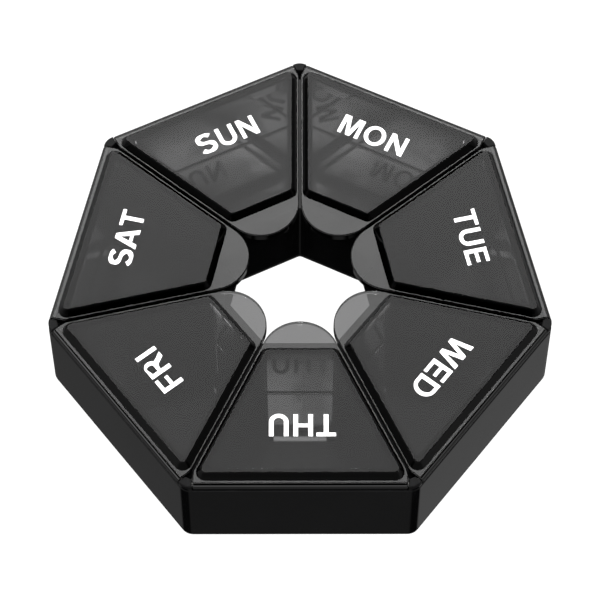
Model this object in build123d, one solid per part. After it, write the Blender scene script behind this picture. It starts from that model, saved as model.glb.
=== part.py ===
"""Seven-sided weekly pill box: a ring tray of seven bays, with a lid and a hinge pin for each bay."""
from build123d import *
import os
from math import cos, radians, sin, tan

# Bays, counter-clockwise from the one that faces the front
DAYS = ("thursday", "wednesday", "tuesday", "monday", "sunday", "saturday", "friday")
FRONT_ANGLE = -90.0
BAY_ANGLE = 360.0 / len(DAYS)
HALF_BAY = radians(BAY_ANGLE / 2)

# Tray: reaches are measured from the axis of the box, square to a wall
TRAY_REACH = 54.0
TRAY_FLARE = 0.7
RIM_HEIGHT = 24.3
HOLE_REACH = 17.2
HOLE_FLARE = 0.5
OUTER_WALL = 2.0
HOLE_WALL = 1.8
PARTITION = 1.6
FLOOR = 1.8
TRAY_CORNER = 3.2
TRAY_FOOT = 1.2
HOLE_CORNER = 1.2
HOLE_FOOT = 0.6
BAY_CORNER = 0.8
BAY_FOOT = 0.5
RIM_EDGE = 0.3

# Lids: flange, raised top, finger tab and the skirt that drops into the bay
LID_LIFT = 0.2
LID_GAP = 0.44
FLANGE = 2.2
FLANGE_EDGE = 0.3
TAB_CENTRE = 21.5
TOP_RISE = 1.8
TOP_EDGE = 0.2
TOP_SLOPE_RUN = 1.25
TOP_OUTER_MARGIN = 1.5
TOP_SIDE_MARGIN = 0.45
TOP_INNER_REACH = 19.4
TOP_OUTER_CORNER = 0.95
TOP_INNER_CORNER = 0.65
TOP_WALL = 1.6
SKIRT_DEPTH = 1.5
SKIRT_WALL = 1.2
SKIRT_CLEARANCE = 0.45
SKIRT_EDGE = 0.3
RECESS_EDGE = 0.6
LID_CORNER = 3.0

# Hinges: the pin lies in the rounded outer edge of the lid and ends in the tray's corner posts
PIN_DIAMETER = 1.0
PIN_CLEARANCE = 0.04
PIN_PRESS = 0.02
PIN_EDGE = 0.1
PIN_END_GAP = 0.5
SOCKET_DEPTH_SPARE = 0.05
KNUCKLE_END = 1.5
POST_CLEARANCE = 0.15
POST_RECESS = 0.1
POST_INBOARD = 0.9
POST_RISE = 0.85
POST_EDGE = 0.25
POST_SINK = 0.6

# Cuts run this far past the faces that they open
OVERRUN = 2.0
# A rounded edge takes at most this share of the wall or step that carries it
EDGE_LIMIT_SHARE = 0.9

KNUCKLE_RADIUS = FLANGE / 2
FLANGE_BOTTOM = RIM_HEIGHT + LID_LIFT
FLANGE_TOP = FLANGE_BOTTOM + FLANGE
TOP_HEIGHT = FLANGE_TOP + TOP_RISE
AXIS_REACH = TRAY_REACH - KNUCKLE_RADIUS
AXIS_HEIGHT = FLANGE_BOTTOM + KNUCKLE_RADIUS
AXIS_HALF_LENGTH = AXIS_REACH * tan(HALF_BAY)
BAY_INNER = HOLE_REACH + HOLE_WALL
BAY_OUTER = TRAY_REACH - OUTER_WALL


def half_width(reach, inset):
    """Half the width of a bay at a reach, with its sides set in from the planes between bays."""
    return reach * tan(HALF_BAY) - inset / cos(HALF_BAY)


def wedge(inner, outer, inset, inner_corner, outer_corner):
    """Bay-shaped face, narrow at the inner reach, with rounded corners; the bay points along +X."""
    near, far = half_width(inner, inset), half_width(outer, inset)
    face = make_face(Polyline((inner, -near), (outer, -far), (outer, far), (inner, near), close=True))
    corners = face.vertices().group_by(Axis.X)
    face = fillet(corners[-1], outer_corner)
    return fillet(face.vertices().group_by(Axis.X)[0], inner_corner)


def heptagon(reach, height):
    """Face of the box's seven-sided outline at a height, with one side to the front."""
    radius = reach / cos(HALF_BAY)
    angles = [radians(FRONT_ANGLE + BAY_ANGLE * (side + 0.5)) for side in range(len(DAYS))]
    points = [(radius * cos(angle), radius * sin(angle)) for angle in angles]
    return Plane.XY.offset(height) * make_face(Polyline(*points, close=True))


def upright(shape):
    """Edges of a shape that set out upwards or downwards rather than lie flat."""
    return shape.edges().filter_by(lambda edge: abs(edge.tangent_at(0).Z) > 0.5)


def around_box(shape, bay):
    """Turn a shape from the +X bay to its own bay."""
    return Rot(0, 0, FRONT_ANGLE + BAY_ANGLE * bay) * shape


def hinge_rod(radius, half_length):
    """Rod along the hinge axis of the +X bay, centred on that bay."""
    rod = Rot(90, 0, 0) * Cylinder(radius, 2 * half_length)
    return Pos(AXIS_REACH, 0, AXIS_HEIGHT) * rod


def tray_shell():
    """Outer block of the tray with the finger hole through it and its edges rounded."""
    block = loft([heptagon(TRAY_REACH + TRAY_FLARE, 0), heptagon(TRAY_REACH, RIM_HEIGHT)], ruled=True)
    block = fillet(upright(block), TRAY_CORNER)
    block = fillet(block.edges().group_by(Axis.Z)[0], min(TRAY_FOOT, EDGE_LIMIT_SHARE * TRAY_CORNER))
    hole = loft([heptagon(HOLE_REACH + HOLE_FLARE, 0), heptagon(HOLE_REACH, RIM_HEIGHT)], ruled=True)
    hole = fillet(upright(hole), HOLE_CORNER)
    block -= hole
    mouth = block.edges().group_by(Axis.Z)[0].filter_by(lambda edge: edge.center().length < BAY_INNER)
    return fillet(mouth, HOLE_FOOT)


def bay_pocket():
    """Space of the +X bay, from its floor to above the rim."""
    plan = wedge(BAY_INNER, BAY_OUTER, PARTITION / 2, BAY_CORNER, BAY_CORNER)
    pocket = Pos(0, 0, FLOOR) * extrude(plan, RIM_HEIGHT - FLOOR + OVERRUN)
    return fillet(pocket.edges().group_by(Axis.Z)[0], min(BAY_FOOT, EDGE_LIMIT_SHARE * BAY_CORNER))


def corner_post():
    """Post at the corner after the +X bay, in the gap between the knuckles of two lids."""
    outward = Vector(cos(HALF_BAY), sin(HALF_BAY))
    along = Vector(-sin(HALF_BAY), cos(HALF_BAY))
    end = KNUCKLE_END - POST_CLEARANCE
    out = KNUCKLE_RADIUS - POST_RECESS
    shoulder = outward * out + along * end
    heel = outward * -POST_INBOARD + along * end
    tip = (out / cos(HALF_BAY), 0)
    outline = [tip, (shoulder.X, shoulder.Y), (heel.X, heel.Y), (heel.X, -heel.Y), (shoulder.X, -shoulder.Y)]
    plan = make_face(Polyline(*outline, close=True))
    corner_limit = EDGE_LIMIT_SHARE * (end / tan(HALF_BAY) + out)
    plan = fillet(plan.vertices().group_by(Axis.X)[-1], min(TRAY_CORNER - POST_RECESS, corner_limit))
    post = extrude(plan, POST_SINK + AXIS_HEIGHT + POST_RISE - RIM_HEIGHT)
    post = fillet(post.edges().group_by(Axis.Z)[-1], POST_EDGE)
    corner = Pos(AXIS_REACH / cos(HALF_BAY), 0, RIM_HEIGHT - POST_SINK)
    return Rot(0, 0, BAY_ANGLE / 2) * corner * post


def tray():
    """The whole tray: shell, seven bays, softened rim and seven posts with sockets for the pins."""
    body = tray_shell()
    pockets = [around_box(bay_pocket(), bay) for bay in range(len(DAYS))]
    body -= pockets
    body = fillet(body.edges().group_by(Axis.Z)[-1], RIM_EDGE)
    body += [around_box(corner_post(), bay) for bay in range(len(DAYS))]
    socket = hinge_rod(PIN_DIAMETER / 2 - PIN_PRESS, AXIS_HALF_LENGTH - PIN_END_GAP + SOCKET_DEPTH_SPARE)
    body -= [around_box(socket, bay) for bay in range(len(DAYS))]
    return body


def flange_plan():
    """Outline of the flange: clipped square at the posts, straight sides and the tab's arc."""
    knuckle_half = AXIS_HALF_LENGTH - KNUCKLE_END
    clip = (knuckle_half + LID_GAP / 2 / cos(HALF_BAY)) / tan(HALF_BAY)
    tab_radius = TAB_CENTRE * sin(HALF_BAY) - LID_GAP / 2
    tangent_x = TAB_CENTRE - tab_radius * sin(HALF_BAY)
    tangent_y = tab_radius * cos(HALF_BAY)
    far = TRAY_REACH + OVERRUN
    edge = Polyline(
        (tangent_x, -tangent_y),
        (clip, -knuckle_half),
        (far, -knuckle_half),
        (far, knuckle_half),
        (clip, knuckle_half),
        (tangent_x, tangent_y),
    )
    arc = ThreePointArc((tangent_x, tangent_y), (TAB_CENTRE - tab_radius, 0), (tangent_x, -tangent_y))
    face = make_face([edge, arc])
    return fillet(face.vertices().group_by(Axis.X)[1], LID_CORNER)


def flange_section():
    """Section of the flange through the box's axis: flat, with a fully rounded outer edge."""
    flat = Polyline(
        (AXIS_REACH, KNUCKLE_RADIUS),
        (0, KNUCKLE_RADIUS),
        (0, -KNUCKLE_RADIUS),
        (AXIS_REACH, -KNUCKLE_RADIUS),
    )
    nose = ThreePointArc((AXIS_REACH, KNUCKLE_RADIUS), (TRAY_REACH, 0), (AXIS_REACH, -KNUCKLE_RADIUS))
    return make_face([flat, nose])


def flange():
    """Flat plate of a lid, with the hinge knuckle as its outer edge and all other edges rounded."""
    slab = extrude(Plane.XZ.offset(-TRAY_REACH) * flange_section(), 2 * TRAY_REACH)
    slab = Pos(0, 0, AXIS_HEIGHT) * slab
    plan = Pos(0, 0, FLANGE_BOTTOM - OVERRUN) * extrude(flange_plan(), FLANGE + 2 * OVERRUN)
    plate = slab & plan
    seams = plate.edges().filter_by(lambda e: e.center().X > TAB_CENTRE and abs(e.center().Y) < LID_GAP)
    rounded = plate.edges() - upright(plate) - seams
    return fillet(rounded, FLANGE_EDGE)


def raised_top():
    """Raised top of a lid with sloping sides, rooted in the flange."""
    inset = LID_GAP / 2 + TOP_SIDE_MARGIN
    outer = TRAY_REACH - TOP_OUTER_MARGIN
    run = TOP_SLOPE_RUN
    foot = wedge(TOP_INNER_REACH, outer, inset, TOP_INNER_CORNER + run, TOP_OUTER_CORNER + run)
    crest = wedge(TOP_INNER_REACH + run, outer - run, inset + run, TOP_INNER_CORNER, TOP_OUTER_CORNER)
    root = Pos(0, 0, AXIS_HEIGHT) * extrude(foot, KNUCKLE_RADIUS)
    crown = loft([Pos(0, 0, FLANGE_TOP) * foot, Pos(0, 0, TOP_HEIGHT) * crest], ruled=True)
    return root + fillet(crown.edges().group_by(Axis.Z)[-1], TOP_EDGE)


def skirt_wedge(set_in):
    """Plan of the skirt, or of the recess inside it, set in from the walls of the bay."""
    corner = max(BAY_CORNER - set_in, SKIRT_WALL)
    return wedge(BAY_INNER + set_in, BAY_OUTER - set_in, PARTITION / 2 + set_in, corner, corner)


def lid():
    """One lid: flange with knuckle and tab, raised top, and the hollow skirt under it."""
    skirt_foot = FLANGE_BOTTOM - SKIRT_DEPTH
    skirt = Pos(0, 0, skirt_foot) * extrude(skirt_wedge(SKIRT_CLEARANCE), SKIRT_DEPTH + KNUCKLE_RADIUS)
    skirt = fillet(skirt.edges().group_by(Axis.Z)[0], SKIRT_EDGE)
    ceiling = TOP_HEIGHT - TOP_WALL
    recess = extrude(skirt_wedge(SKIRT_CLEARANCE + SKIRT_WALL), ceiling - skirt_foot + OVERRUN)
    recess = Pos(0, 0, skirt_foot - OVERRUN) * recess
    recess = fillet(recess.edges().group_by(Axis.Z)[-1], min(RECESS_EDGE, EDGE_LIMIT_SHARE * SKIRT_WALL))
    body = flange() + raised_top() + skirt
    body -= recess
    return body - hinge_rod(PIN_DIAMETER / 2 + PIN_CLEARANCE, AXIS_HALF_LENGTH)


def hinge_pin():
    """Straight steel pin with broken end edges."""
    pin = hinge_rod(PIN_DIAMETER / 2, AXIS_HALF_LENGTH - PIN_END_GAP)
    return chamfer(pin.edges().filter_by(GeomType.CIRCLE), PIN_EDGE)


def main():
    """Write each piece to its own file."""
    os.makedirs("parts", exist_ok=True)
    export_step(tray(), "parts/tray.step")
    one_lid, one_pin = lid(), hinge_pin()
    for bay, day in enumerate(DAYS):
        export_step(around_box(one_lid, bay), f"parts/lid_{day}.step")
        export_step(around_box(one_pin, bay), f"parts/hinge_pin_{day}.step")


main()
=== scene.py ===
"""Looks of a seven-sided weekly pill box.

Glossy black tray, smoky see-through lids, printed days and a plain white studio.
"""
import logging
import math
from dataclasses import dataclass, field
from enum import Enum

import bpy
from mathutils import Matrix, Vector


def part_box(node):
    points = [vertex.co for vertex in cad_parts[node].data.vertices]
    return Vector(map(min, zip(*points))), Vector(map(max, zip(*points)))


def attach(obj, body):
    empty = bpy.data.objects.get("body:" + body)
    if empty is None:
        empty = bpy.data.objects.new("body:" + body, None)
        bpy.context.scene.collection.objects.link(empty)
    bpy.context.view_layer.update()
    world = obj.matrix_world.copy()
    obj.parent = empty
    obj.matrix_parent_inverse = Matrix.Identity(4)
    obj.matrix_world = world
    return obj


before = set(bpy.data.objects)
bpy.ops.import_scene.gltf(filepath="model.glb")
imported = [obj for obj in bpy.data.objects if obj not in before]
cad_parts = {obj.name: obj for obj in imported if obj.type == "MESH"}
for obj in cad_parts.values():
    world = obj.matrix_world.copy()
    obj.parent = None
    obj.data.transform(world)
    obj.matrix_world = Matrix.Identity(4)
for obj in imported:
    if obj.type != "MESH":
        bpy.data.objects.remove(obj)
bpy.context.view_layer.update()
LOG = logging.getLogger("pill_box")

MM = 0.001
BAYS = 7
BAY_ANGLE = 2 * math.pi / BAYS
FRONT_ANGLE = -math.pi / 2
TRAY_BODY = "tray_body"
TRAY_NODE = "tray"

Point = tuple[float, float]
Loop = list[Point]
Triple = tuple[float, float, float]
Colour = Triple


class Day(Enum):
    """Days in the order of their bays, counter-clockwise from the front."""

    THURSDAY = 0
    WEDNESDAY = 1
    TUESDAY = 2
    MONDAY = 3
    SUNDAY = 4
    SATURDAY = 5
    FRIDAY = 6

    @property
    def lid(self) -> str:
        """Name of the lid's node."""
        return f"lid_{self.name.lower()}"

    @property
    def pin(self) -> str:
        """Name of the hinge pin's node."""
        return f"hinge_pin_{self.name.lower()}"

    @property
    def body(self) -> str:
        """Name of the body that the lid is."""
        return f"{self.name.lower()}_lid"

    @property
    def word(self) -> str:
        """Short form that is printed on the lid."""
        return self.name[:3]

    @property
    def outward(self) -> Vector:
        """Direction from the axis of the box to the middle of the lid's outer edge."""
        angle = FRONT_ANGLE + BAY_ANGLE * self.value
        return Vector((math.cos(angle), math.sin(angle), 0.0))


class Bench:
    """Adds and links nodes in one node tree.

    Args:
        tree: The tree to work in.
    """

    def __init__(self, tree: bpy.types.NodeTree) -> None:
        self.tree = tree

    def node(self, kind: str, **settings: object) -> bpy.types.Node:
        """Add a node.

        Args:
            kind: The node's type name.
            **settings: Properties to set on it.

        Returns:
            The new node.
        """
        made = self.tree.nodes.new(kind)
        for name, value in settings.items():
            setattr(made, name, value)
        return made

    def feed(self, target: bpy.types.NodeSocket, source: object) -> None:
        """Link a socket to a target socket, or set a plain value on it.

        Args:
            target: The input socket.
            source: An output socket, a number or a tuple.
        """
        if isinstance(source, bpy.types.NodeSocket):
            self.tree.links.new(source, target)
        else:
            target.default_value = source

    def math(self, operation: str, *values: object, clamp: bool = False) -> bpy.types.NodeSocket:
        """Add a Math node.

        Args:
            operation: The node's operation.
            *values: Sockets or numbers for its inputs.
            clamp: Whether the result is held between 0 and 1.

        Returns:
            The result's socket.
        """
        made = self.node("ShaderNodeMath", operation=operation, use_clamp=clamp)
        for socket, value in zip(made.inputs, values):
            self.feed(socket, value)
        return made.outputs[0]

    def span(
        self, value: object, low: float, high: float, to_low: float = 0.0, to_high: float = 1.0
    ) -> bpy.types.NodeSocket:
        """Map a value smoothly from one range to another, held at its ends.

        Args:
            value: The socket or number to map.
            low: Value that gives to_low.
            high: Value that gives to_high.
            to_low: Result at low.
            to_high: Result at high.

        Returns:
            The result's socket.
        """
        made = self.node("ShaderNodeMapRange", interpolation_type="SMOOTHSTEP")
        values = {"Value": value, "From Min": low, "From Max": high, "To Min": to_low, "To Max": to_high}
        for name, item in values.items():
            self.feed(made.inputs[name], item)
        return made.outputs["Result"]

    def mix(self, share: object, first: object, second: object) -> bpy.types.NodeSocket:
        """Mix two colours.

        Args:
            share: How much of the second colour there is, from 0 to 1.
            first: Colour at 0.
            second: Colour at 1.

        Returns:
            The mixed colour's socket.
        """
        made = self.node("ShaderNodeMix", data_type="RGBA")
        self.feed(made.inputs["Factor"], share)
        for socket, colour in ((made.inputs[6], first), (made.inputs[7], second)):
            self.feed(socket, colour if isinstance(colour, bpy.types.NodeSocket) else (*colour, 1.0))
        return made.outputs[2]

    def noise(
        self, place: object, scale: object, detail: float = 2.0, roughness: float = 0.5
    ) -> bpy.types.NodeSocket:
        """Add a noise texture.

        Args:
            place: Socket with the coordinates.
            scale: Waves per metre.
            detail: Octaves.
            roughness: How strong the finer octaves are.

        Returns:
            The noise value's socket.
        """
        made = self.node("ShaderNodeTexNoise")
        values = {"Vector": place, "Scale": scale, "Detail": detail, "Roughness": roughness}
        for name, value in values.items():
            self.feed(made.inputs[name], value)
        return made.outputs["Fac"]

    def upright(self, vector: bpy.types.NodeSocket) -> bpy.types.NodeSocket:
        """Take the upright part of a vector.

        Args:
            vector: Socket with the vector.

        Returns:
            The socket of its Z.
        """
        made = self.node("ShaderNodeSeparateXYZ")
        self.feed(made.inputs[0], vector)
        return made.outputs["Z"]


def object_place(bench: Bench) -> bpy.types.NodeSocket:
    """Object coordinates, which are the frame's own metres on every piece."""
    return bench.node("ShaderNodeTexCoord").outputs["Object"]


@dataclass
class SurfaceEffects:
    """Shader groups that several finishes share."""

    wave_scale: float = 160.0
    smudge_scale: float = 42.0
    smudge_cover: float = 0.35
    smudge_octaves: float = 5.0
    smudge_fineness: float = 0.62
    smudge_start: float = 0.42
    smudge_full: float = 0.78
    cover_pull: float = 0.5
    hair_scale: float = 5200.0
    hair_cover: float = 0.3
    hair_turns_and_stretches: tuple[Point, ...] = ((0.62, 0.012), (-0.95, 0.02))
    hair_edge: Point = (0.70, 0.76)
    gate_scale: float = 55.0
    gate_scale_per_turn: float = 30.0
    gate_edge: Point = (0.5, 0.66)

    def __post_init__(self) -> None:
        """Build each group once."""
        self.skin = self._moulded_skin()
        self.scratches = self._fine_scratches()

    @staticmethod
    def _group(name: str, inputs: dict[str, float], outputs: tuple[str, ...]) -> bpy.types.NodeTree:
        """Start a shader group with a vector input, float inputs and float outputs.

        Args:
            name: The group's name.
            inputs: Float inputs with their usual values.
            outputs: Names of the float outputs.

        Returns:
            The group, without its inner nodes.
        """
        tree = bpy.data.node_groups.new(name, "ShaderNodeTree")
        tree.interface.new_socket(name="Place", in_out="INPUT", socket_type="NodeSocketVector")
        for key, value in inputs.items():
            socket = tree.interface.new_socket(name=key, in_out="INPUT", socket_type="NodeSocketFloat")
            socket.default_value = value
        for key in outputs:
            tree.interface.new_socket(name=key, in_out="OUTPUT", socket_type="NodeSocketFloat")
        return tree

    def _moulded_skin(self) -> bpy.types.NodeTree:
        """Faint waviness of moulded plastic, and the soft smudges that handling leaves on it."""
        inputs = {
            "Wave Scale": self.wave_scale,
            "Smudge Scale": self.smudge_scale,
            "Smudge Cover": self.smudge_cover,
        }
        tree = self._group("Moulded skin", inputs, ("Height", "Smudge"))
        bench = Bench(tree)
        given = bench.node("NodeGroupInput").outputs
        result = bench.node("NodeGroupOutput").inputs
        place = given["Place"]
        bench.feed(result["Height"], bench.noise(place, given["Wave Scale"], detail=1.0))
        cloud = bench.noise(place, given["Smudge Scale"], self.smudge_octaves, self.smudge_fineness)
        pull = bench.math("MULTIPLY", given["Smudge Cover"], self.cover_pull)
        edge = bench.math("SUBTRACT", self.smudge_full, pull)
        bench.feed(result["Smudge"], bench.span(cloud, self.smudge_start, edge))
        return tree

    def _fine_scratches(self) -> bpy.types.NodeTree:
        """Hair-thin scratches in two crossing directions, broken into short runs."""
        inputs = {"Fineness": self.hair_scale, "Cover": self.hair_cover}
        tree = self._group("Fine scratches", inputs, ("Mask",))
        bench = Bench(tree)
        given = bench.node("NodeGroupInput").outputs
        result = bench.node("NodeGroupOutput").inputs
        runs = []
        for turn, stretch in self.hair_turns_and_stretches:
            place = bench.node("ShaderNodeMapping")
            bench.feed(place.inputs["Vector"], given["Place"])
            place.inputs["Rotation"].default_value = (0.0, 0.0, turn)
            place.inputs["Scale"].default_value = (1.0, stretch, 1.0)
            hair = bench.noise(place.outputs["Vector"], given["Fineness"], detail=0.0)
            line = bench.span(hair, *self.hair_edge)
            gate_scale = self.gate_scale + self.gate_scale_per_turn * turn
            gate = bench.noise(given["Place"], gate_scale, detail=3.0)
            runs.append(bench.math("MULTIPLY", line, bench.span(gate, *self.gate_edge)))
        both = bench.math("MAXIMUM", *runs)
        bench.feed(result["Mask"], bench.math("MULTIPLY", both, given["Cover"], clamp=True))
        return tree

    @staticmethod
    def place(
        bench: Bench, tree: bpy.types.NodeTree, where: bpy.types.NodeSocket, **values: float
    ) -> bpy.types.bpy_prop_collection:
        """Put a shared group into a material.

        Args:
            bench: The material's bench.
            tree: The group.
            where: Coordinates for it.
            **values: Its inputs, with underscores for spaces.

        Returns:
            The group node's outputs.
        """
        made = bench.node("ShaderNodeGroup", node_tree=tree)
        bench.feed(made.inputs["Place"], where)
        for key, value in values.items():
            bench.feed(made.inputs[key.replace("_", " ")], value)
        return made.outputs


def new_material(name: str) -> tuple[bpy.types.Material, Bench, bpy.types.Node]:
    """Make an empty node material with one Principled shader.

    Args:
        name: The material's name.

    Returns:
        The material, a bench on its tree and the shader.
    """
    material = bpy.data.materials.new(name)
    material.use_nodes = True
    bench = Bench(material.node_tree)
    shader = material.node_tree.nodes["Principled BSDF"]
    return material, bench, shader


def set_plain(shader: bpy.types.Node, **values: object) -> None:
    """Set values on the shader's own sockets, with underscores for spaces in their names."""
    for key, value in values.items():
        shader.inputs[key.replace("_", " ")].default_value = value


def bump(
    bench: Bench, shader: bpy.types.Node, height: object, depth: float, strength: float = 1.0
) -> None:
    """Feed a height in metres times depth to the shader's normal.

    Args:
        bench: The material's bench.
        shader: The shader.
        height: Socket with the height, about 0 to 1.
        depth: Metres of relief for a height of 1.
        strength: Strength of the bump.
    """
    made = bench.node("ShaderNodeBump")
    bench.feed(made.inputs["Height"], height)
    made.inputs["Distance"].default_value = depth
    made.inputs["Strength"].default_value = strength
    bench.feed(shader.inputs["Normal"], made.outputs["Normal"])


@dataclass(frozen=True)
class TrayPlastic:
    """Glossy black moulded plastic.

    It is matt on the corner posts and at the foot, and scuffed where it slides on the table.
    """

    black: Colour = (0.0012, 0.0012, 0.0013)
    scuffed: Colour = (0.012, 0.012, 0.0125)
    gloss_roughness: float = 0.05
    smudged_roughness: float = 0.11
    matt_roughness: float = 0.5
    worn_roughness: float = 0.3
    smudge_cover: float = 0.3
    scratch_cover: float = 0.5
    rub_scale: float = 900.0
    rub_octaves: float = 4.0
    rub_edge: Point = (0.45, 0.7)
    post_start: float = 24.9 * MM
    post_full: float = 25.3 * MM
    foot_full: float = 1.45 * MM
    foot_end: float = 1.7 * MM
    scuff_height: float = 1.6 * MM
    wave_depth: float = 0.004 * MM
    refraction: float = 1.5
    mirror_level: float = 0.5

    def build(self, effects: SurfaceEffects) -> bpy.types.Material:
        """Make the material.

        Args:
            effects: The shared shader groups.

        Returns:
            The finished material.
        """
        material, bench, shader = new_material("tray_black_plastic")
        place = object_place(bench)
        height = bench.upright(place)
        skin = effects.place(bench, effects.skin, place, Smudge_Cover=self.smudge_cover)
        hair = effects.place(bench, effects.scratches, place, Cover=self.scratch_cover)["Mask"]
        low = bench.span(height, self.scuff_height, 0.0)
        rub = bench.span(bench.noise(place, self.rub_scale, self.rub_octaves), *self.rub_edge)
        worn = bench.math("MAXIMUM", bench.math("MULTIPLY", low, rub), hair)
        bench.feed(shader.inputs["Base Color"], bench.mix(worn, self.black, self.scuffed))
        gloss = bench.span(skin["Smudge"], 0.0, 1.0, self.gloss_roughness, self.smudged_roughness)
        rough = bench.math("ADD", gloss, bench.math("MULTIPLY", worn, self.worn_roughness))
        post = bench.span(height, self.post_start, self.post_full, 0.0, self.matt_roughness)
        foot = bench.span(height, self.foot_end, self.foot_full, 0.0, self.matt_roughness)
        matt = bench.math("MAXIMUM", post, foot)
        bench.feed(shader.inputs["Roughness"], bench.math("MAXIMUM", rough, matt))
        set_plain(shader, IOR=self.refraction, Specular_IOR_Level=self.mirror_level)
        bump(bench, shader, skin["Height"], self.wave_depth)
        return material


@dataclass(frozen=True)
class LidPlastic:
    """Smoke-tinted see-through plastic.

    The raised top is thin, and the flange and the tab are thick and polished. The upright sides
    and edges carry a painted shade: a black tint picked by their slope, so that they read dark.
    """

    top_tint: Colour = (0.98, 0.98, 0.985)
    flange_tint: Colour = (0.6, 0.6, 0.605)
    # painted shade: black tint for the upright sides and edges of the lid
    side_painted_shade: Colour = (0.0, 0.0, 0.0)
    smoke: Colour = (0.0, 0.0, 0.0)
    smoke_density: float = 600.0
    top_roughness: float = 0.004
    smudged_roughness: float = 0.02
    scratch_roughness: float = 0.2
    smudge_cover: float = 0.45
    scratch_cover: float = 0.1
    flange_height: float = 26.74 * MM
    top_height: float = 26.86 * MM
    side_slope: float = 0.97
    flat_slope: float = 0.995
    under_slope: float = 0.25
    under_full: float = 0.5
    wave_depth: float = 0.003 * MM
    refraction: float = 1.5
    polish_refraction: float = 1.64
    polish_roughness: float = 0.03
    smudged_polish: float = 0.9

    def build(self, effects: SurfaceEffects) -> bpy.types.Material:
        """Make the material.

        Args:
            effects: The shared shader groups.

        Returns:
            The finished material.
        """
        material, bench, shader = new_material("lid_smoke_plastic")
        place = object_place(bench)
        skin = effects.place(bench, effects.skin, place, Smudge_Cover=self.smudge_cover)
        hair = effects.place(bench, effects.scratches, place, Cover=self.scratch_cover)["Mask"]
        polished = bench.span(bench.upright(place), self.top_height, self.flange_height)
        flat = self._flat(bench)
        tint = bench.mix(polished, self.top_tint, self.flange_tint)
        # painted shade: faces that are neither level nor turned down get the black side tint, so they
        # read as dark bands
        bench.feed(shader.inputs["Base Color"], bench.mix(flat, self.side_painted_shade, tint))
        gloss = bench.span(skin["Smudge"], 0.0, 1.0, self.top_roughness, self.smudged_roughness)
        worn = bench.math("ADD", gloss, bench.math("MULTIPLY", hair, self.scratch_roughness))
        unpolished = bench.math("SUBTRACT", 1.0, polished)
        rough = bench.math("MULTIPLY", bench.math("MULTIPLY", worn, flat), unpolished)
        bench.feed(shader.inputs["Roughness"], rough)
        handled = bench.span(skin["Smudge"], 0.0, 1.0, 1.0, self.smudged_polish)
        bench.feed(shader.inputs["Coat Weight"], bench.math("MULTIPLY", polished, handled))
        self._fill(material, bench)
        set_plain(shader, Transmission_Weight=1.0, IOR=self.refraction)
        set_plain(shader, Coat_IOR=self.polish_refraction, Coat_Roughness=self.polish_roughness)
        bump(bench, shader, skin["Height"], self.wave_depth)
        return material

    def _flat(self, bench: Bench) -> bpy.types.NodeSocket:
        """Mark the faces that let light through: level on top, or turned down; the rest get painted
        shade.

        Args:
            bench: The material's bench.

        Returns:
            The mask's socket.
        """
        normal = bench.node("ShaderNodeTexCoord").outputs["Normal"]
        inside = bench.node("ShaderNodeNewGeometry").outputs["Backfacing"]
        outward = bench.math("MULTIPLY_ADD", inside, -2.0, 1.0)
        rise = bench.math("MULTIPLY", bench.upright(normal), outward)
        upper = bench.span(rise, self.side_slope, self.flat_slope)
        under = bench.span(rise, -self.under_slope, -self.under_full)
        return bench.math("MAXIMUM", upper, under)

    def _fill(self, material: bpy.types.Material, bench: Bench) -> None:
        """Fill the plastic with smoke, so that a thicker wall is darker.

        Args:
            material: The lid's material.
            bench: Its bench.
        """
        depth = bench.node("ShaderNodeVolumeAbsorption")
        depth.inputs["Color"].default_value = (*self.smoke, 1.0)
        depth.inputs["Density"].default_value = self.smoke_density
        output = material.node_tree.nodes["Material Output"]
        bench.feed(output.inputs["Volume"], depth.outputs["Volume"])


@dataclass(frozen=True)
class PrintInk:
    """White pad-printed ink with a fine grain and slightly uneven cover."""

    white: Colour = (0.74, 0.74, 0.74)
    thin: Colour = (0.66, 0.66, 0.665)
    thin_scale: float = 1400.0
    thin_octaves: float = 4.0
    thin_edge: Point = (0.58, 0.8)
    roughness: Point = (0.36, 0.52)
    grain_scale: float = 6000.0
    grain_span: Point = (0.3, 0.7)
    grain_depth: float = 0.008 * MM
    grain_strength: float = 0.5

    def build(self) -> bpy.types.Material:
        """Make the material."""
        material, bench, shader = new_material("label_white_ink")
        place = object_place(bench)
        cover = bench.span(bench.noise(place, self.thin_scale, self.thin_octaves), *self.thin_edge)
        grain = bench.noise(place, self.grain_scale)
        bench.feed(shader.inputs["Base Color"], bench.mix(cover, self.white, self.thin))
        bench.feed(shader.inputs["Roughness"], bench.span(grain, *self.grain_span, *self.roughness))
        bump(bench, shader, grain, self.grain_depth, self.grain_strength)
        return material


@dataclass(frozen=True)
class PinSteel:
    """Drawn steel wire with a dull grain."""

    bright: Colour = (0.62, 0.61, 0.6)
    dull: Colour = (0.38, 0.37, 0.37)
    dull_edge: Point = (0.4, 0.75)
    roughness: Point = (0.24, 0.42)
    grain_scale: float = 5200.0
    grain_octaves: float = 3.0
    grain_fineness: float = 0.6
    grain_span: Point = (0.3, 0.7)
    grain_depth: float = 0.004 * MM
    grain_strength: float = 0.6

    def build(self) -> bpy.types.Material:
        """Make the material."""
        material, bench, shader = new_material("pin_drawn_steel")
        place = object_place(bench)
        grain = bench.noise(place, self.grain_scale, self.grain_octaves, self.grain_fineness)
        tarnish = bench.span(grain, *self.dull_edge)
        bench.feed(shader.inputs["Base Color"], bench.mix(tarnish, self.bright, self.dull))
        bench.feed(shader.inputs["Roughness"], bench.span(grain, *self.grain_span, *self.roughness))
        set_plain(shader, Metallic=1.0)
        bump(bench, shader, grain, self.grain_depth, self.grain_strength)
        return material


def arc(centre: Point, radii: Point, start: float, end: float, steps: int = 14) -> Loop:
    """Points on an ellipse.

    Args:
        centre: Its centre.
        radii: Its half width and half height.
        start: First angle in degrees.
        end: Last angle in degrees.
        steps: Number of stretches.

    Returns:
        The points, both ends included.
    """
    turns = [math.radians(start + (end - start) * k / steps) for k in range(steps + 1)]
    return [(centre[0] + radii[0] * math.cos(a), centre[1] + radii[1] * math.sin(a)) for a in turns]


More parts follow.
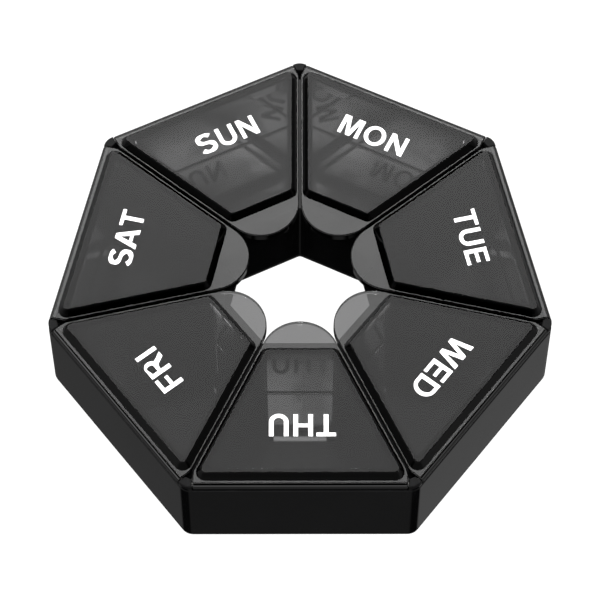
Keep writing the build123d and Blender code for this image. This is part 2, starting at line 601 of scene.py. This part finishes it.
@dataclass(frozen=True)
class Letter:
    """One capital: closed outlines, its width, and the room that it keeps at its left and right."""

    loops: list[Loop]
    width: float
    room: Point


@dataclass(frozen=True)
class BlockLetters:
    """Plain heavy capitals. All sizes are shares of the capital height."""

    stem: float = 0.183
    bar: float = 0.16
    square_room: float = 0.095
    round_room: float = 0.06
    open_room: float = 0.04
    overshoot: float = 0.018
    ribbon_share: float = 0.88

    def letter(self, name: str) -> Letter:
        """Draw one capital.

        Args:
            name: The letter.

        Returns:
            Its outlines and spacing.
        """
        return getattr(self, f"_{name.lower()}")()

    def _i(self) -> Letter:
        """Letter I."""
        s = self.stem
        return Letter([[(0, 0), (s, 0), (s, 1), (0, 1)]], s, (self.square_room, self.square_room))

    def _h(self) -> Letter:
        """Letter H."""
        s, w = self.stem, 0.77
        low = 0.51 - self.bar / 2
        high = low + self.bar
        feet = [(0, 0), (s, 0), (s, low), (w - s, low), (w - s, 0), (w, 0)]
        heads = [(w, 1), (w - s, 1), (w - s, high), (s, high), (s, 1), (0, 1)]
        return Letter([feet + heads], w, (self.square_room, self.square_room))

    def _t(self) -> Letter:
        """Letter T."""
        w, b = 0.77, 1 - self.bar
        left, right = (w - self.stem) / 2, (w + self.stem) / 2
        loop = [(left, 0), (right, 0), (right, b), (w, b), (w, 1), (0, 1), (0, b), (left, b)]
        return Letter([loop], w, (self.open_room, self.open_room))

    def _arms(self, width: float, foot: bool) -> Letter:
        """Letter E, or F without the foot.

        Args:
            width: Width of the longest arm.
            foot: Whether the lowest arm is there.

        Returns:
            The letter.
        """
        s, b = self.stem, self.bar
        low = 0.5 - b / 2 + (0.01 if foot else -0.03)
        high = low + b
        upper = width - (0.03 if foot else 0.0)
        middle = width - 0.06
        start = [(0, 0), (width, 0), (width, b), (s, b)] if foot else [(0, 0), (s, 0)]
        arm = [(s, low), (middle, low), (middle, high), (s, high)]
        head = [(s, 1 - b), (upper, 1 - b), (upper, 1), (0, 1)]
        return Letter([start + arm + head], width, (self.square_room, self.open_room))

    def _e(self) -> Letter:
        """Letter E."""
        return self._arms(0.7, True)

    def _f(self) -> Letter:
        """Letter F."""
        return self._arms(0.66, False)

    def _n(self) -> Letter:
        """Letter N."""
        s, w, crook = self.stem * 0.94, 0.78, 0.345
        slope = self.stem * 1.02
        feet = [(0, 0), (s, 0), (s, 1 - crook), (w - slope, 0), (w, 0)]
        heads = [(w, 1), (w - s, 1), (w - s, crook), (slope, 1), (0, 1)]
        return Letter([feet + heads], w, (self.square_room, self.square_room))

    def _m(self) -> Letter:
        """Letter M."""
        s, w, tip, shoulder = self.stem * 0.91, 0.93, 0.098, 0.29
        middle, crook, dip = w / 2, 0.79, 0.31
        feet = [(0, 0), (s, 0), (s, crook), (middle - tip, 0), (middle + tip, 0), (w - s, crook)]
        sides = [(w - s, 0), (w, 0), (w, 1)]
        heads = [(w - shoulder, 1), (middle, dip), (shoulder, 1), (0, 1)]
        return Letter([feet + sides + heads], w, (self.square_room, self.square_room))

    def _w(self) -> Letter:
        """Letter W."""
        w, foot, inner = 1.27, 0.24, 0.44
        middle, peak, top = w / 2, 0.7, 0.105
        stroke, crook, dip = 0.215, 0.345, 0.29
        left = [(0, 1), (foot, 0), (inner, 0), (middle, peak)]
        right = [(w - inner, 0), (w - foot, 0), (w, 1), (w - stroke, 1), (w - crook, dip)]
        crown = [(middle + top, 1), (middle - top, 1), (crook, dip), (stroke, 1)]
        return Letter([left + right + crown], w, (self.open_room / 2, self.open_room / 2))

    def _a(self) -> Letter:
        """Letter A."""
        w, leg, head = 0.94, 0.22, 0.118
        middle, peak = w / 2, 0.8
        bar_low, bar_high = 0.225, 0.225 + self.bar * 0.92
        lean = middle - head
        inset = leg + bar_low * 0.33
        feet = [(0, 0), (leg, 0), (inset, bar_low), (w - inset, bar_low), (w - leg, 0), (w, 0)]
        side = inset + 0.058
        hole = [(side, bar_high), (middle, peak), (w - side, bar_high)]
        outer = feet + [(w - lean, 1), (lean, 1)]
        return Letter([outer, hole], w, (self.open_room / 2, self.open_room / 2))

    def _d(self) -> Letter:
        """Letter D."""
        s, b, w = self.stem, self.bar, 0.82
        turn, inner = w - 0.46, w - 0.44
        outer = [(0, 0)] + arc((turn, 0.5), (w - turn, 0.5), -90, 90, 24) + [(0, 1)]
        hole = [(s, b)] + arc((inner, 0.5), (w - s - inner, 0.5 - b), -90, 90, 24) + [(s, 1 - b)]
        return Letter([outer, hole], w, (self.square_room, self.round_room))

    def _o(self) -> Letter:
        """Letter O."""
        w = 0.94
        half, tall = w / 2, 0.5 + self.overshoot
        outer = arc((half, 0.5), (half, tall), 0, 360, 48)[:-1]
        hole = arc((half, 0.5), (half - self.stem * 1.02, tall - self.bar), 0, 360, 48)[:-1]
        return Letter([outer, hole], w, (self.round_room, self.round_room))

    def _u(self) -> Letter:
        """Letter U."""
        s, w, turn = self.stem, 0.77, 0.35
        half = w / 2
        outer = arc((half, turn), (half, turn + self.overshoot), 180, 360, 24)
        inner = arc((half, turn), (half - s, turn + self.overshoot - self.stem * 0.95), 360, 180, 24)
        loop = [(0, 1)] + outer + [(w, 1), (w - s, 1)] + inner + [(s, 1)]
        return Letter([loop], w, (self.square_room, self.square_room))

    def _r(self) -> Letter:
        """Letter R."""
        s, b, w = self.stem, self.bar, 0.86
        waist, bowl, turn = 0.42, 0.74, 0.49
        middle, tall = (waist + 1) / 2, (1 - waist) / 2
        right = arc((turn, middle), (bowl - turn, tall), -58, 90, 18)
        crotch = waist - 0.005
        leg = [(s, 0), (s, crotch), (0.3, crotch), (0.42, 0.36), (0.615, 0), (w, 0), (0.7, 0.27)]
        outer = [(0, 0)] + leg + right + [(0, 1)]
        inner_radii = (bowl - turn - s + 0.02, tall - b * 0.78)
        inner = arc((turn - 0.01, middle + b / 4), inner_radii, -90, 90, 16)
        hole = [(s, waist + b)] + inner + [(s, 1 - b)]
        return Letter([outer, hole], w, (self.square_room, self.open_room))

    def _s(self) -> Letter:
        """Letter S, a ribbon along two bowls."""
        w, waist = 0.79, 0.525
        upper_in, lower_out = 0.012, 0.008
        top, foot = 1 + self.overshoot - self.bar / 2, self.bar / 2 - self.overshoot
        side = (w - self.stem) / 2
        upper_centre = (w / 2 - upper_in, (top + waist) / 2)
        upper = arc(upper_centre, (side - upper_in, (top - waist) / 2), 30, 252, 26)
        lower_centre = (w / 2 + lower_out, (foot + waist) / 2)
        lower = arc(lower_centre, (side, (waist - foot) / 2), 72, -152, 26)
        spine = upper + lower
        left, right = [], []
        for k, (x, y) in enumerate(spine):
            ahead, behind = spine[min(k + 1, len(spine) - 1)], spine[max(k - 1, 0)]
            along = Vector((ahead[0] - behind[0], ahead[1] - behind[1])).normalized()
            half = (self.bar * abs(along.x) + self.stem * abs(along.y)) * self.ribbon_share / 2
            left.append((x - along.y * half, y + along.x * half))
            right.append((x + along.y * half, y - along.x * half))
        return Letter([left + right[::-1]], w, (self.round_room, self.round_room))


@dataclass
class DayLabels:
    """The printed words, one thin piece of ink on the raised top of each lid."""

    ink: bpy.types.Material
    letters: BlockLetters = field(default_factory=BlockLetters)
    capital: float = 5.42 * MM
    stretch: float = 1.05
    ink_height: float = 0.03 * MM
    sunk: float = 0.01 * MM
    places_mm: dict[Day, Point] = field(default_factory=lambda: {
        Day.THURSDAY: (39.75, 0.5),
        Day.WEDNESDAY: (40.85, 0.3),
        Day.TUESDAY: (41.05, -0.25),
        Day.MONDAY: (41.05, 0.15),
        Day.SUNDAY: (41.05, -0.35),
        Day.SATURDAY: (41.5, 0.6),
        Day.FRIDAY: (41.1, 0.25),
    })

    def build(self) -> list[bpy.types.Object]:
        """Make every label and let it ride on its lid.

        Returns:
            The label objects.
        """
        return [self._label(day) for day in Day]

    def _outline(self, word: str) -> bpy.types.Object:
        """Lay out a word as a flat filled curve, centred on its ink, one capital high.

        Args:
            word: The word.

        Returns:
            The curve's object.
        """
        drawn = [self.letters.letter(name) for name in word]
        places, pen = [], -drawn[0].room[0]
        for item in drawn:
            pen += item.room[0]
            places.append(pen)
            pen += item.width + item.room[1]
        middle = (pen - drawn[-1].room[1]) / 2
        curve = bpy.data.curves.new(f"word_{word}", "CURVE")
        curve.dimensions = "2D"
        curve.fill_mode = "BOTH"
        curve.extrude = (self.ink_height + self.sunk) / 2 / self.capital
        for start, item in zip(places, drawn):
            for loop in item.loops:
                spline = curve.splines.new("POLY")
                spline.points.add(len(loop) - 1)
                spline.use_cyclic_u = True
                for point, (x, y) in zip(spline.points, loop):
                    point.co = (x + start - middle, y - 0.5, 0.0, 1.0)
        made = bpy.data.objects.new(f"word_{word}", curve)
        bpy.context.scene.collection.objects.link(made)
        return made

    def _label(self, day: Day) -> bpy.types.Object:
        """Make one label.

        Args:
            day: Whose lid it is on.

        Returns:
            The label's object.
        """
        flat = self._outline(day.word)
        mesh = bpy.data.meshes.new_from_object(flat.evaluated_get(bpy.context.evaluated_depsgraph_get()))
        bpy.data.objects.remove(flat)
        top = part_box(day.lid)[1].z
        up = day.outward
        right = up.cross(Vector((0.0, 0.0, 1.0)))
        reach, shift = (value * MM for value in self.places_mm[day])
        turn = Matrix((right, up, Vector((0.0, 0.0, 1.0)))).transposed().to_4x4()
        lift = Vector((0.0, 0.0, top + (self.ink_height - self.sunk) / 2))
        size = Matrix.Diagonal((self.stretch * self.capital, self.capital, self.capital, 1.0))
        mesh.transform(Matrix.Translation(up * reach - right * shift + lift) @ turn @ size)
        mesh.materials.clear()
        mesh.materials.append(self.ink)
        label = bpy.data.objects.new(f"label_{day.name.lower()}", mesh)
        bpy.context.scene.collection.objects.link(label)
        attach(label, day.body)
        return label


@dataclass
class EjectorMarks:
    """Round witness marks that the mould's ejector pins leave on the floor of every bay."""

    plastic: bpy.types.Material
    floor_height: float = 1.8 * MM
    mark_radius: float = 1.4 * MM
    proud: float = 0.05 * MM
    inner_reach: float = 26.0 * MM
    outer_reach: float = 45.0 * MM
    spread: float = 11.0 * MM
    sides: int = 24

    def build(self) -> bpy.types.Object:
        """Make the marks as one mesh and let it ride on the tray.

        Returns:
            The marks' object.
        """
        tree, names = self._tree()
        made = bpy.data.objects.new("bay_ejector_marks", bpy.data.meshes.new("bay_ejector_marks"))
        bpy.context.scene.collection.objects.link(made)
        modifier = made.modifiers.new("marks", "NODES")
        modifier.node_group = tree
        values = {
            "Bays": BAYS,
            "Mark Radius": self.mark_radius,
            "Mark Depth": 2 * self.proud,
            "Floor Height": self.floor_height,
            "Front Angle": FRONT_ANGLE,
            "Plastic": self.plastic,
        }
        for key, value in values.items():
            modifier[names[key]] = value
        mesh = bpy.data.meshes.new_from_object(made.evaluated_get(bpy.context.evaluated_depsgraph_get()))
        made.modifiers.clear()
        made.data = mesh
        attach(made, TRAY_BODY)
        return made

    def _tree(self) -> tuple[bpy.types.NodeTree, dict[str, str]]:
        """Build the node tree that sets three marks in each bay.

        Returns:
            The tree, and the identifier of each named input.
        """
        tree = bpy.data.node_groups.new("Bay ejector marks", "GeometryNodeTree")
        kinds = {
            "Bays": "NodeSocketInt",
            "Mark Radius": "NodeSocketFloat",
            "Mark Depth": "NodeSocketFloat",
            "Floor Height": "NodeSocketFloat",
            "Front Angle": "NodeSocketFloat",
            "Plastic": "NodeSocketMaterial",
        }
        names = {}
        for key, kind in kinds.items():
            socket = tree.interface.new_socket(name=key, in_out="INPUT", socket_type=kind)
            names[key] = socket.identifier
        tree.interface.new_socket(name="Geometry", in_out="OUTPUT", socket_type="NodeSocketGeometry")
        bench = Bench(tree)
        given = bench.node("NodeGroupInput").outputs
        mark = bench.node("GeometryNodeMeshCylinder")
        mark.inputs["Vertices"].default_value = self.sides
        bench.feed(mark.inputs["Radius"], given["Mark Radius"])
        bench.feed(mark.inputs["Depth"], given["Mark Depth"])
        trio = bench.node("GeometryNodeJoinGeometry")
        outer = self.outer_reach
        for reach, across in ((self.inner_reach, 0.0), (outer, -self.spread), (outer, self.spread)):
            moved = bench.node("GeometryNodeTransform")
            bench.feed(moved.inputs["Geometry"], mark.outputs["Mesh"])
            spot = bench.node("ShaderNodeCombineXYZ")
            bench.feed(spot.inputs["X"], reach)
            bench.feed(spot.inputs["Y"], across)
            bench.feed(spot.inputs["Z"], given["Floor Height"])
            bench.feed(moved.inputs["Translation"], spot.outputs["Vector"])
            bench.feed(trio.inputs["Geometry"], moved.outputs["Geometry"])
        points = bench.node("GeometryNodePoints")
        bench.feed(points.inputs["Count"], given["Bays"])
        step = bench.math("DIVIDE", 2 * math.pi, given["Bays"])
        index = bench.node("GeometryNodeInputIndex").outputs["Index"]
        turn = bench.math("MULTIPLY_ADD", index, step, given["Front Angle"])
        angles = bench.node("ShaderNodeCombineXYZ")
        bench.feed(angles.inputs["Z"], turn)
        rotation = bench.node("FunctionNodeEulerToRotation")
        bench.feed(rotation.inputs["Euler"], angles.outputs["Vector"])
        copies = bench.node("GeometryNodeInstanceOnPoints")
        bench.feed(copies.inputs["Points"], points.outputs["Points"])
        bench.feed(copies.inputs["Instance"], trio.outputs["Geometry"])
        bench.feed(copies.inputs["Rotation"], rotation.outputs["Rotation"])
        real = bench.node("GeometryNodeRealizeInstances")
        bench.feed(real.inputs["Geometry"], copies.outputs["Instances"])
        dressed = bench.node("GeometryNodeSetMaterial")
        bench.feed(dressed.inputs["Geometry"], real.outputs["Geometry"])
        bench.feed(dressed.inputs["Material"], given["Plastic"])
        bench.feed(bench.node("NodeGroupOutput").inputs["Geometry"], dressed.outputs["Geometry"])
        return tree, names


@dataclass
class PillBox:
    """The box itself: every CAD node gets its finish, and the printed and moulded detail is added."""

    effects: SurfaceEffects = field(default_factory=SurfaceEffects)

    def build(self) -> None:
        """Dress the nodes and add the detail."""
        tray = TrayPlastic().build(self.effects)
        lid = LidPlastic().build(self.effects)
        steel = PinSteel().build()
        self._dress(TRAY_NODE, tray)
        for day in Day:
            self._dress(day.lid, lid)
            self._dress(day.pin, steel)
        for label in DayLabels(PrintInk().build()).build():
            LOG.info("%s: %d faces", label.name, len(label.data.polygons))
        marks = EjectorMarks(tray).build()
        LOG.info("%s: %d faces", marks.name, len(marks.data.polygons))

    @staticmethod
    def _dress(node: str, material: bpy.types.Material) -> None:
        """Give a CAD node its finish.

        Args:
            node: The node's name.
            material: Its material.
        """
        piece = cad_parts[node]
        for slot in piece.material_slots:
            slot.material = material
        LOG.info("%s: %s", node, material.name)


@dataclass(frozen=True)
class Softbox:
    """Rectangular soft light on a stand, turned to the box. Polished edges don't mirror it.

    Args:
        name: The light's name.
        azimuth_deg: Turn from the front, to the right.
        elevation_deg: Height above the table, as an angle.
        radiance: Brightness of its face.
        size: Width and height of its face.
        tilt_deg: Turn of its face about the line to the box.
        distance: How far it stands from the box.
        through_lids: Whether it shows through the lids.
    """

    name: str
    azimuth_deg: float
    elevation_deg: float
    radiance: float
    size: Point
    tilt_deg: float = 0.0
    distance: float = 1.0
    through_lids: bool = True

    def build(self) -> None:
        """Make the light."""
        data = bpy.data.lights.new(self.name, "AREA")
        data.shape = "RECTANGLE"
        data.size, data.size_y = self.size
        data.energy = self.radiance * math.pi * data.size * data.size_y
        light = bpy.data.objects.new(self.name, data)
        away = direction(self.azimuth_deg, self.elevation_deg)
        light.location = away * self.distance
        facing = (-away).to_track_quat("-Z", "Y").to_matrix()
        light.rotation_euler = (facing @ Matrix.Rotation(math.radians(self.tilt_deg), 3, "Z")).to_euler()
        light.visible_glossy = False
        light.visible_transmission = self.through_lids
        bpy.context.scene.collection.objects.link(light)


def direction(azimuth_deg: float, elevation_deg: float) -> Vector:
    """Direction from the box.

    Args:
        azimuth_deg: Turn from the front, to the right.
        elevation_deg: Angle above the table.

    Returns:
        The unit vector.
    """
    turn, rise = math.radians(azimuth_deg), math.radians(elevation_deg)
    return Vector((math.sin(turn) * math.cos(rise), -math.cos(turn) * math.cos(rise), math.sin(rise)))


@dataclass(frozen=True)
class Room:
    """Dark room with a bright panel high at the back, a low sky, a pale horizon and dim spots below.

    Each range belongs to a part of the unit direction from the box: x to the right, y to the back
    or z upwards. A tone fades in from the first value to the second.
    """

    dark: float = 0.003
    panel_rise: Point = (0.42, 0.57)
    panel_tones: Point = (1.2, 1.62)
    panel_near: Point = (0.30, 0.36)
    panel_far: Point = (0.70, 0.62)
    panel_sides: Point = (0.42, 0.34)
    panel_foot: Point = (0.5, 0.6)
    horizon_foot: Point = (-0.06, 0.0)
    horizon_top: Point = (0.16, 0.06)
    horizon_tone: float = 0.1
    rim_foot: Point = (-0.75, -0.6)
    rim_top: Point = (0.0, -0.06)
    rim_tone: float = 0.2
    sky_foot: Point = (0.2, 0.32)
    sky_top: Point = (0.74, 0.6)
    sky_right_to_left: Point = (0.6, -0.6)
    sky_tones: Point = (0.5, 1.0)
    spots: tuple[Triple, ...] = ((0.0, -0.39, 0.056), (-0.39, 0.17, 0.1), (0.39, 0.17, 0.205))
    spot_edge: Point = (0.22, 0.12)
    spot_top: Point = (0.0, -0.3)

    def build(self) -> None:
        """Make the world and light it."""
        world = bpy.data.worlds.new("studio_room")
        bpy.context.scene.world = world
        world.use_nodes = True
        bench = Bench(world.node_tree)
        way = bench.node("ShaderNodeSeparateXYZ")
        bench.feed(way.inputs[0], bench.node("ShaderNodeTexCoord").outputs["Generated"])
        parts = tuple(way.outputs[name] for name in "XYZ")
        tones = [self._panel(bench, parts), *self._bands(bench, parts)]
        tones += [self._spot(bench, parts, *spot) for spot in self.spots]
        tone = self.dark
        for part in tones:
            tone = bench.math("ADD", part, tone)
        back = world.node_tree.nodes["Background"]
        bench.feed(back.inputs["Strength"], tone)
        back.inputs["Color"].default_value = (1.0, 1.0, 1.0, 1.0)

    def _panel(self, bench: Bench, way: tuple[bpy.types.NodeSocket, ...]) -> bpy.types.NodeSocket:
        """Light the panel that the level faces mirror.

        Args:
            bench: The world's bench.
            way: Sockets of the direction's x, y and z.

        Returns:
            The panel's tone.
        """
        x, y, z = way
        slope = bench.span(y, *self.panel_rise, *self.panel_tones)
        edge = bench.math("MULTIPLY", bench.span(y, *self.panel_near), bench.span(y, *self.panel_far))
        sides = bench.span(bench.math("ABSOLUTE", x), *self.panel_sides)
        high = bench.math("MULTIPLY", sides, bench.span(z, *self.panel_foot))
        return bench.math("MULTIPLY", bench.math("MULTIPLY", slope, edge), high)

    def _bands(
        self, bench: Bench, way: tuple[bpy.types.NodeSocket, ...]
    ) -> list[bpy.types.NodeSocket]:
        """Light the bands that run all round: horizon, rim below it and low sky above it.

        Args:
            bench: The world's bench.
            way: Sockets of the direction's x, y and z.

        Returns:
            The tones of the three bands.
        """
        x, _, z = way
        horizon_fade = bench.span(z, *self.horizon_top, 0.0, self.horizon_tone)
        rim_fade = bench.span(z, *self.rim_top, 0.0, self.rim_tone)
        band = bench.math("MULTIPLY", bench.span(z, *self.sky_foot), bench.span(z, *self.sky_top))
        return [
            bench.math("MULTIPLY", bench.span(z, *self.horizon_foot), horizon_fade),
            bench.math("MULTIPLY", bench.span(z, *self.rim_foot), rim_fade),
            bench.math("MULTIPLY", band, bench.span(x, *self.sky_right_to_left, *self.sky_tones)),
        ]

    def _spot(
        self, bench: Bench, way: tuple[bpy.types.NodeSocket, ...], right: float, back: float, tone: float
    ) -> bpy.types.NodeSocket:
        """Light one dim round spot below the horizon.

        Args:
            bench: The world's bench.
            way: Sockets of the direction's x, y and z.
            right: The spot's x.
            back: The spot's y.
            tone: Its brightness.

        Returns:
            The spot's tone.
        """
        x, y, z = way
        off_x = bench.math("SUBTRACT", x, right)
        off_y = bench.math("SUBTRACT", y, back)
        square = bench.math("MULTIPLY_ADD", off_x, off_x, bench.math("MULTIPLY", off_y, off_y))
        disc = bench.span(bench.math("SQRT", square), *self.spot_edge, 0.0, tone)
        return bench.math("MULTIPLY", disc, bench.span(z, *self.spot_top))


@dataclass
class Studio:
    """White floor, dark room, softboxes above the box, and the photograph's camera."""

    room: Room = field(default_factory=Room)
    floor_half: float = 3.0
    floor_white: Colour = (0.08, 0.08, 0.08)
    floor_mottle: Colour = (0.09, 0.09, 0.09)
    floor_mottle_scale: float = 30.0
    floor_mottle_octaves: float = 3.0
    floor_roughness: float = 0.9
    floor_glow: float = 0.97
    azimuth_deg: float = -0.07
    elevation_deg: float = 61.67
    camera_distance: float = 530.8 * MM
    nearest_view: float = 10.0 * MM
    aim: Triple = (0.0, -0.2 * MM, 14.25 * MM)
    lens_mm: float = 133.8
    sensor_mm: float = 36.0
    softboxes: tuple[Softbox, ...] = (
        Softbox("softbox_front", 0.0, 63.8, 145.0, (0.1, 0.06)),
        Softbox("strip_left", -49.5, 60.0, 205.0, (0.08, 0.027), tilt_deg=13.0),
        Softbox("strip_right", 49.5, 60.0, 205.0, (0.08, 0.027), tilt_deg=-13.0),
        Softbox("kicker_left", -54.2, 58.7, 1500.0, (0.036, 0.036)),
        Softbox("kicker_right", 54.2, 58.7, 1500.0, (0.036, 0.036)),
        Softbox("back_left", -147.0, 61.6, 10.0, (0.033, 0.033)),
        Softbox("back_right", 147.0, 61.6, 10.0, (0.033, 0.033)),
        Softbox("overhead_scrim", 0.0, 90.0, 5.0, (1.42, 1.42), distance=1.6, through_lids=False),
    )
    least_bounces: int = 8

    def build(self) -> None:
        """Make the floor, the room, the lights and the camera."""
        self._floor()
        self.room.build()
        for softbox in self.softboxes:
            softbox.build()
        self._camera()
        view = bpy.context.scene.view_settings
        view.view_transform = "Standard"
        view.look = "None"
        bpy.context.scene.cycles.min_light_bounces = self.least_bounces

    def _floor(self) -> None:
        """Plain white floor that the glossy walls don't mirror."""
        half = self.floor_half
        corners = [(-half, -half, 0), (half, -half, 0), (half, half, 0), (-half, half, 0)]
        mesh = bpy.data.meshes.new("studio_floor")
        mesh.from_pydata(corners, [], [(0, 1, 2, 3)])
        material, bench, shader = new_material("studio_floor_paper")
        mottle = bench.noise(object_place(bench), self.floor_mottle_scale, self.floor_mottle_octaves)
        bench.feed(shader.inputs["Base Color"], bench.mix(mottle, self.floor_white, self.floor_mottle))
        set_plain(shader, Roughness=self.floor_roughness, Specular_IOR_Level=0.0)
        set_plain(shader, Emission_Color=(1.0, 1.0, 1.0, 1.0), Emission_Strength=self.floor_glow)
        mesh.materials.append(material)
        floor = bpy.data.objects.new("studio_floor", mesh)
        floor.visible_glossy = False
        bpy.context.scene.collection.objects.link(floor)

    def _camera(self) -> None:
        """Camera at the photograph's view."""
        data = bpy.data.cameras.new("photo_camera")
        data.lens = self.lens_mm
        data.sensor_width = self.sensor_mm
        data.clip_start = self.nearest_view
        camera = bpy.data.objects.new("photo_camera", data)
        back = direction(self.azimuth_deg, self.elevation_deg)
        camera.location = Vector(self.aim) + back * self.camera_distance
        camera.rotation_euler = (-back).to_track_quat("-Z", "Y").to_euler()
        bpy.context.scene.collection.objects.link(camera)
        bpy.context.scene.camera = camera


def main() -> None:
    """Build the box and the studio."""
    logging.basicConfig(level=logging.INFO, format="%(message)s")
    PillBox().build()
    Studio().build()


if __name__ == "__main__":
    main()
